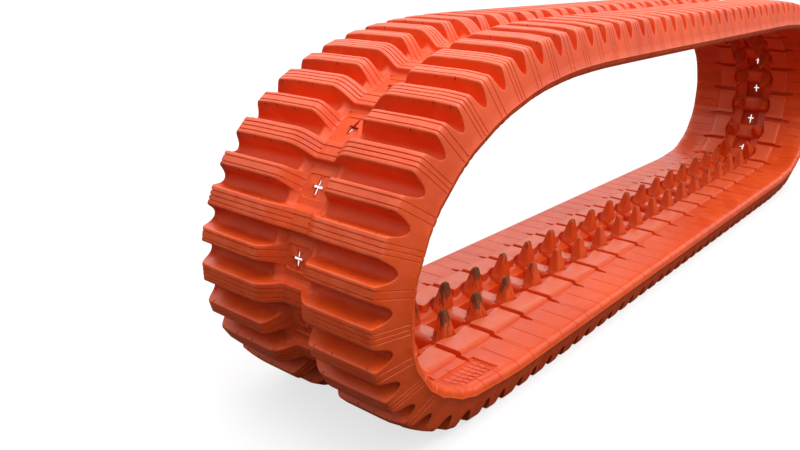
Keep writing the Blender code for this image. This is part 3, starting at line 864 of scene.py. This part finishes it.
def star_reach(angle, turn, arms):
    """How far a tear reaches from its middle in a direction."""
    reach = TEAR_WIDTH
    for number, arm in enumerate(arms):
        away = (angle - turn - number * math.pi / 2 + math.pi) % (2 * math.pi) - math.pi
        if abs(away) < math.pi / 4:
            reach = max(reach, min(arm, TEAR_WIDTH / max(abs(math.sin(away)), 1e-4)))
    return reach


def box_edge(side, half_x, half_y):
    """Where a ray from the middle of a box meets its edge."""
    share = min(half_x / max(abs(side[0]), 1e-6), half_y / max(abs(side[1]), 1e-6))
    return side[0] * share, side[1] * share


def torn_skin(core):
    """The skin in one window, as rings from its edge in to the torn edge of the star."""
    name = "window_skin_%02d" % (core + 1)
    lengths = (TEAR_LONG, TEAR_SHORT, TEAR_LONG * TEAR_THIRD, TEAR_SHORT)
    arms = [length * (TEAR_LEAST + TEAR_MORE * chance(core * 4 + number))
            for number, length in enumerate(lengths)]
    turn = TEAR_SWING * (chance(core + 0.31) - 0.5)
    window_x = (core + 0.5) * PITCH
    middle_x = window_x + TEAR_SHIFT_X * (chance(core + 0.53) - 0.5)
    middle_y = TEAR_SHIFT_Y * (chance(core + 0.77) - 0.6)
    boxes = ((HALF_PITCH - SKIN_END, SKIN_SIDE, SKIN_OUT),
             (SKIN_LEDGE_X + SKIN_BEVEL, SKIN_LEDGE_Y + SKIN_BEVEL, SKIN_OUT),
             (SKIN_LEDGE_X, SKIN_LEDGE_Y, SKIN_OUT - SKIN_DROP))
    skin = bmesh.new()
    bmesh.ops.create_grid(skin, x_segments=SPOKES, y_segments=RINGS, size=0.5)
    for vert in skin.verts:
        spoke = round((vert.co.x + 0.5) * SPOKES)
        ring = round((vert.co.y + 0.5) * RINGS)
        angle = 2 * math.pi * (spoke % SPOKES) / SPOKES + turn
        side = (math.cos(angle), math.sin(angle))
        if ring < len(boxes):
            half_x, half_y, z = boxes[ring]
            x, y = box_edge(side, half_x, half_y)
            x += window_x
        else:
            curled = ring - len(boxes)
            tear = star_reach(angle, turn, arms) + (0 if curled else TEAR_LIP)
            x = middle_x + side[0] * tear
            y = middle_y + side[1] * tear
            z = SKIN_OUT - SKIN_DROP + TEAR_CURL * curled * (1 + chance(core + spoke * 0.11))
        vert.co = (x, y, z)
    bmesh.ops.remove_doubles(skin, verts=skin.verts, dist=1e-7)
    below = bmesh.ops.extrude_face_region(skin, geom=skin.faces[:])
    lower = [item for item in below["geom"] if isinstance(item, bmesh.types.BMVert)]
    bmesh.ops.translate(skin, verts=lower, vec=(0, 0, -SKIN_THICKNESS))
    face_outward(skin)
    return name, skin


def skin_piece(name, shape):
    mesh = bpy.data.meshes.new(name)
    finish_mesh(shape, mesh)
    return lay_and_dress(name, mesh, rubber)


for core in range(LINKS):
    name, shape = torn_skin(core)
    if core == OPEN_GAP:
        other = shape.copy()
        trim_at(shape, OPEN_SLIT * PITCH, True)
        trim_at(other, OPEN_SLIT * PITCH, False)
        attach(skin_piece(name, shape), "rear_lower_bend")
        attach(skin_piece(name + "_end", other), "ground_run")
    else:
        ride_or_bend(skin_piece(name, shape), core)


# VENT NUBS
# Short threads of rubber that stood in the mould's vent holes, left along the lugs' edges.

NUB_HALF = 0.0008
NUB_TIP_SHARE = 0.5
NUB_LENGTH = 0.0038
NUB_Y = (0.049, 0.078, 0.108, 0.138)
NUB_SINK = 0.0023
NUB_OFFSET = 0.0001               # a nub's middle stands this far off the edge of the lug's top
NUB_SCATTER = 0.014
NUB_TILT = 0.5
NUB_SPLAY = 0.28
NUBS_LOST = 0.42                  # share of the nubs that have broken off
SEEDS_PER_CORE = 67
NUB_COLOUR = (0.26, 0.030, 0.007)

nub_rubber = rubber_look("vent_nub_look", NUB_COLOUR, 0.6)
for name, first, last, body in RUBBER_RUNS:
    nubs = bmesh.new()
    for core in range(first, last):
        spots = itertools.product(NUB_Y, (True, False), (-1, 1), (-1, 1))
        for number, (near_y, wide, way, side) in enumerate(spots):
            seed = core * SEEDS_PER_CORE + 2 * number
            if chance(seed) < NUBS_LOST:
                continue
            x = core * PITCH + (0 if wide else HALF_PITCH)
            x += way * ((WIDE_TOP if wide else NARROW_TOP) + NUB_OFFSET)
            y = near_y + NUB_SCATTER * (chance(seed + 0.2) - 0.5)
            made = bmesh.ops.create_cone(nubs, cap_ends=True, segments=6, radius1=NUB_HALF,
                                         radius2=NUB_HALF * NUB_TIP_SHARE, depth=NUB_LENGTH)
            tilt = Matrix.Rotation(NUB_TILT * (chance(seed + 0.4) - 0.5), 3, "X")
            splay = Matrix.Rotation(-NUB_SPLAY * way, 3, "Y")
            bmesh.ops.rotate(nubs, verts=made["verts"], cent=(0, 0, 0), matrix=tilt @ splay)
            bmesh.ops.translate(nubs, verts=made["verts"], vec=(x, side * y, LUG_TOP - NUB_SINK))
    mesh = bpy.data.meshes.new(name.replace("tread", "vent_nubs"))
    finish_mesh(nubs, mesh)
    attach(lay_and_dress(mesh.name, mesh, nub_rubber), body)


# STEEL CORES
# A forged bar in each link: two flat wings held in the rubber, a bar that the sprocket drives, and
# two guide horns between the rollers. Coated orange, and rubbed to dark steel toward the horns'
# tips. The dark steel colour spreads further on the horns toward the front of the loop.

CORE_HALF_LENGTH = 0.0196
CORE_HALF_SPAN = 0.118
CORE_HALF_THICK = 0.004
CORE_BEVEL = 0.0015
HORN_SIDE_Y = 0.0335
# millimetres: depth inside the pitch line, half length, half width, lean to the middle
HORN_RINGS = ((4.0, 19.2, 12.2, 0.0), (12.2, 19.2, 12.2, 0.0), (15.5, 17.6, 12.2, 0.1),
              (18.0, 16.6, 12.1, 0.3), (19.0, 15.8, 11.9, 0.4), (23.5, 14.6, 11.6, 0.9),
              (29.0, 12.8, 10.4, 1.4), (35.0, 11.2, 9.0, 1.9), (41.0, 9.7, 7.6, 2.3),
              (47.0, 8.4, 6.3, 2.6), (51.5, 7.4, 5.3, 2.8), (54.6, 6.3, 4.3, 2.9),
              (56.2, 4.8, 3.1, 2.9), (56.9, 2.6, 1.6, 2.9))
HORN_SIDES = 24
HORN_SQUARENESS = 5.0


def guide_horn(shape, side):
    """One horn, as rings that narrow toward a rounded tip and lean to the middle of the track."""
    rows = len(HORN_RINGS) - 1
    made = bmesh.ops.create_grid(shape, x_segments=HORN_SIDES, y_segments=rows, size=0.5)
    for vert in made["verts"]:
        angle = 2 * math.pi * (round((vert.co.x + 0.5) * HORN_SIDES) % HORN_SIDES + 0.5) / HORN_SIDES
        depth, half_x, half_y, lean = HORN_RINGS[round((vert.co.y + 0.5) * rows)]
        corner = [math.copysign(abs(part) ** (2 / HORN_SQUARENESS), part)
                  for part in (math.cos(angle), math.sin(angle))]
        vert.co = (half_x * 0.001 * corner[0],
                   side * (HORN_SIDE_Y - lean * 0.001) + half_y * 0.001 * corner[1], -depth * 0.001)
    bmesh.ops.remove_doubles(shape, verts=made["verts"], dist=1e-7)
    close_ends(shape)


def core_mesh(core):
    shape = bmesh.new()
    wings = bmesh.ops.create_cube(shape, size=2.0)
    bmesh.ops.scale(shape, verts=wings["verts"],
                    vec=(CORE_HALF_LENGTH, CORE_HALF_SPAN, CORE_HALF_THICK))
    bmesh.ops.bevel(shape, geom=shape.edges[:], offset=CORE_BEVEL, segments=2, profile=0.5,
                    affect="EDGES", material=-1)
    for side in (-1, 1):
        guide_horn(shape, side)
    bmesh.ops.recalc_face_normals(shape, faces=shape.faces)
    bmesh.ops.translate(shape, verts=shape.verts, vec=(core * PITCH, 0, 0))
    mesh = bpy.data.meshes.new("guide_core_%02d" % (core + 1))
    finish_mesh(shape, mesh)
    return mesh


COAT_COLOUR = (0.86, 0.110, 0.012, 1)
COAT_SHADE = (0.62, 0.055, 0.008, 1)
STEEL_COLOUR = (0.030, 0.011, 0.006, 1)
RUST_COLOUR = (0.30, 0.085, 0.026, 1)
CHIP_STRETCH = (1.0, 1.0, 0.28)   # chips run out into streaks up and down the horn


def core_look():
    """Orange coating over forged steel: mottled, chipped, and rubbed bare and dark at the tips."""
    look, tree, shader = new_look("forged_core_look")
    shader.inputs["Specular IOR Level"].default_value = 0.3
    place = tree.nodes.new("ShaderNodeTexCoord").outputs["Object"]
    along = tree.nodes.new("ShaderNodeSeparateXYZ")
    tree.links.new(place, along.inputs[0])
    flat, flat_parts = flat_place(tree)
    drawn = tree.nodes.new("ShaderNodeMapping")
    drawn.inputs["Scale"].default_value = CHIP_STRETCH
    tree.links.new(flat, drawn.inputs["Vector"])
    chips = noise(tree, drawn.outputs["Vector"], 130.0, 6.0, 0.68)
    rub = ranged(tree, flat_parts["Z"], -0.018, -0.058, -0.22, 0.06, curve="LINEAR")
    front = ranged(tree, along.outputs["X"], -0.56, -0.24, 0.070, -0.14)
    spell = maths(tree, "MULTIPLY_ADD", noise(tree, place, 3.2, 1.0), 0.25, front)
    worn = maths(tree, "ADD", maths(tree, "ADD", chips, rub), spell)
    bare = ranged(tree, worn, 0.50, 0.66, 0.0, 1.0)
    coat = stain(tree, COAT_COLOUR, noise(tree, place, 30.0, 3.0), COAT_SHADE)
    steel = stain(tree, STEEL_COLOUR, chips, RUST_COLOUR)
    tree.links.new(stain(tree, coat, bare, steel), shader.inputs["Base Color"])
    tree.links.new(ranged(tree, bare, 0.0, 1.0, 0.34, 0.66, curve="LINEAR"),
                   shader.inputs["Roughness"])
    add_relief(tree, shader, chips, 0.5, 0.0008)
    return look


forged = core_look()
for core in range(LINKS):
    mesh = core_mesh(core)
    piece = lay_and_dress(mesh.name, mesh, forged)
    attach(piece, body_of_core(core))
    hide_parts("steel_core_%02d" % (core + 1))


# CORD PLY
# Endless steel cords in black skim rubber, wound round the cores and hidden in the moulding. The
# cords run along the travel, a little over two millimetres apart.

SKIM_COLOUR = (0.008, 0.007, 0.007, 1)
CORD_COLOUR = (0.032, 0.029, 0.027, 1)


def ply_look():
    look, tree, shader = new_look("cord_ply_look")
    cords = tree.nodes.new("ShaderNodeTexWave")
    cords.wave_type = "BANDS"
    cords.bands_direction = "Y"
    cords.inputs["Scale"].default_value = 140.0
    cords.inputs["Distortion"].default_value = 0.2
    place = tree.nodes.new("ShaderNodeTexCoord").outputs["Object"]
    tree.links.new(place, cords.inputs["Vector"])
    tone = stain(tree, SKIM_COLOUR, cords.outputs["Fac"], CORD_COLOUR)
    tree.links.new(tone, shader.inputs["Base Color"])
    shader.inputs["Roughness"].default_value = 0.75
    add_relief(tree, shader, cords.outputs["Fac"], 0.6, 0.0006)
    return look


ply = ply_look()
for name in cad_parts:
    if name.startswith("cord_ply"):
        bpy.data.objects[name].data.materials.clear()
        bpy.data.objects[name].data.materials.append(ply)


# FLOOR AND LIGHT
# A white floor and backdrop, as in the photograph, with broad soft light from above.

FLOOR_SIZE = 14.0
FLOOR_GREY = (0.06, 0.06, 0.06, 1)    # the floor as the track sees it
FLOOR_SHADOW = 0.30               # how much of the lit floor shows through the white
WHITE = (1, 1, 1, 1)

floor_mesh = bpy.data.meshes.new("floor")
floor_shape = bmesh.new()
bmesh.ops.create_grid(floor_shape, x_segments=1, y_segments=1, size=FLOOR_SIZE)
floor_shape.to_mesh(floor_mesh)
floor_shape.free()
floor = bpy.data.objects.new("floor", floor_mesh)
bpy.context.scene.collection.objects.link(floor)


def white_to_camera(tree, surface, plain_white, keep):
    """White to the camera and to rays that pass through, with a share of the lit surface kept."""
    rays = tree.nodes.new("ShaderNodeLightPath").outputs
    seen = maths(tree, "MAXIMUM", rays["Is Camera Ray"], rays["Is Transmission Ray"])
    white = tree.nodes.new(plain_white)
    white.inputs["Color"].default_value = WHITE
    white.inputs["Strength"].default_value = 1.0
    mix = tree.nodes.new("ShaderNodeMixShader")
    tree.links.new(maths(tree, "MULTIPLY", seen, 1 - keep), mix.inputs[0])
    tree.links.new(surface, mix.inputs[1])
    tree.links.new(white.outputs[0], mix.inputs[2])
    return mix.outputs[0]


floor_look, floor_tree, floor_shader = new_look("floor_look")
floor_shader.inputs["Base Color"].default_value = FLOOR_GREY
floor_shader.inputs["Roughness"].default_value = 0.9
floor_shader.inputs["Specular IOR Level"].default_value = 0.0
floor_seen = floor_tree.nodes.new("ShaderNodeBsdfDiffuse")
floor_seen.inputs["Color"].default_value = WHITE
floor_both = floor_tree.nodes.new("ShaderNodeMixShader")
floor_rays = floor_tree.nodes.new("ShaderNodeLightPath")
floor_tree.links.new(floor_rays.outputs["Is Camera Ray"], floor_both.inputs[0])
floor_tree.links.new(floor_shader.outputs[0], floor_both.inputs[1])
floor_tree.links.new(floor_seen.outputs[0], floor_both.inputs[2])
floor_tree.links.new(white_to_camera(floor_tree, floor_both.outputs[0], "ShaderNodeEmission",
                                     FLOOR_SHADOW),
                     floor_tree.nodes["Material Output"].inputs["Surface"])
floor_mesh.materials.append(floor_look)

world = bpy.data.worlds.new("sky")
bpy.context.scene.world = world
world.use_nodes = True
sky_tree = world.node_tree
sky = sky_tree.nodes["Background"]
sky.inputs["Color"].default_value = WHITE
toward = sky_tree.nodes.new("ShaderNodeSeparateXYZ")
sky_tree.links.new(sky_tree.nodes.new("ShaderNodeTexCoord").outputs["Generated"], toward.inputs[0])
overhead = ranged(sky_tree, toward.outputs["Z"], -0.05, 0.65, 0.16, 1.56)
lengthwise = ranged(sky_tree, toward.outputs["X"], -1.0, 1.0, 0.45, 1.40, curve="LINEAR")
sky_tree.links.new(maths(sky_tree, "MULTIPLY", overhead, lengthwise), sky.inputs["Strength"])
sky_tree.links.new(white_to_camera(sky_tree, sky.outputs[0], "ShaderNodeBackground", 0.0),
                   sky_tree.nodes["World Output"].inputs["Surface"])


def soft_lamp(name, place, aim, size, energy):
    lamp = bpy.data.lights.new(name, "AREA")
    lamp.size = size
    lamp.energy = energy
    holder = bpy.data.objects.new(name, lamp)
    holder.location = place
    turned = (Vector(aim) - Vector(place)).to_track_quat("-Z", "Y")
    holder.rotation_euler = turned.to_euler()
    bpy.context.scene.collection.objects.link(holder)


soft_lamp("overhead", place=(-0.5, -1.0, 3.4), aim=(-0.3, 0.0, 0.2), size=2.6, energy=60)

bpy.context.scene.view_settings.view_transform = "Standard"
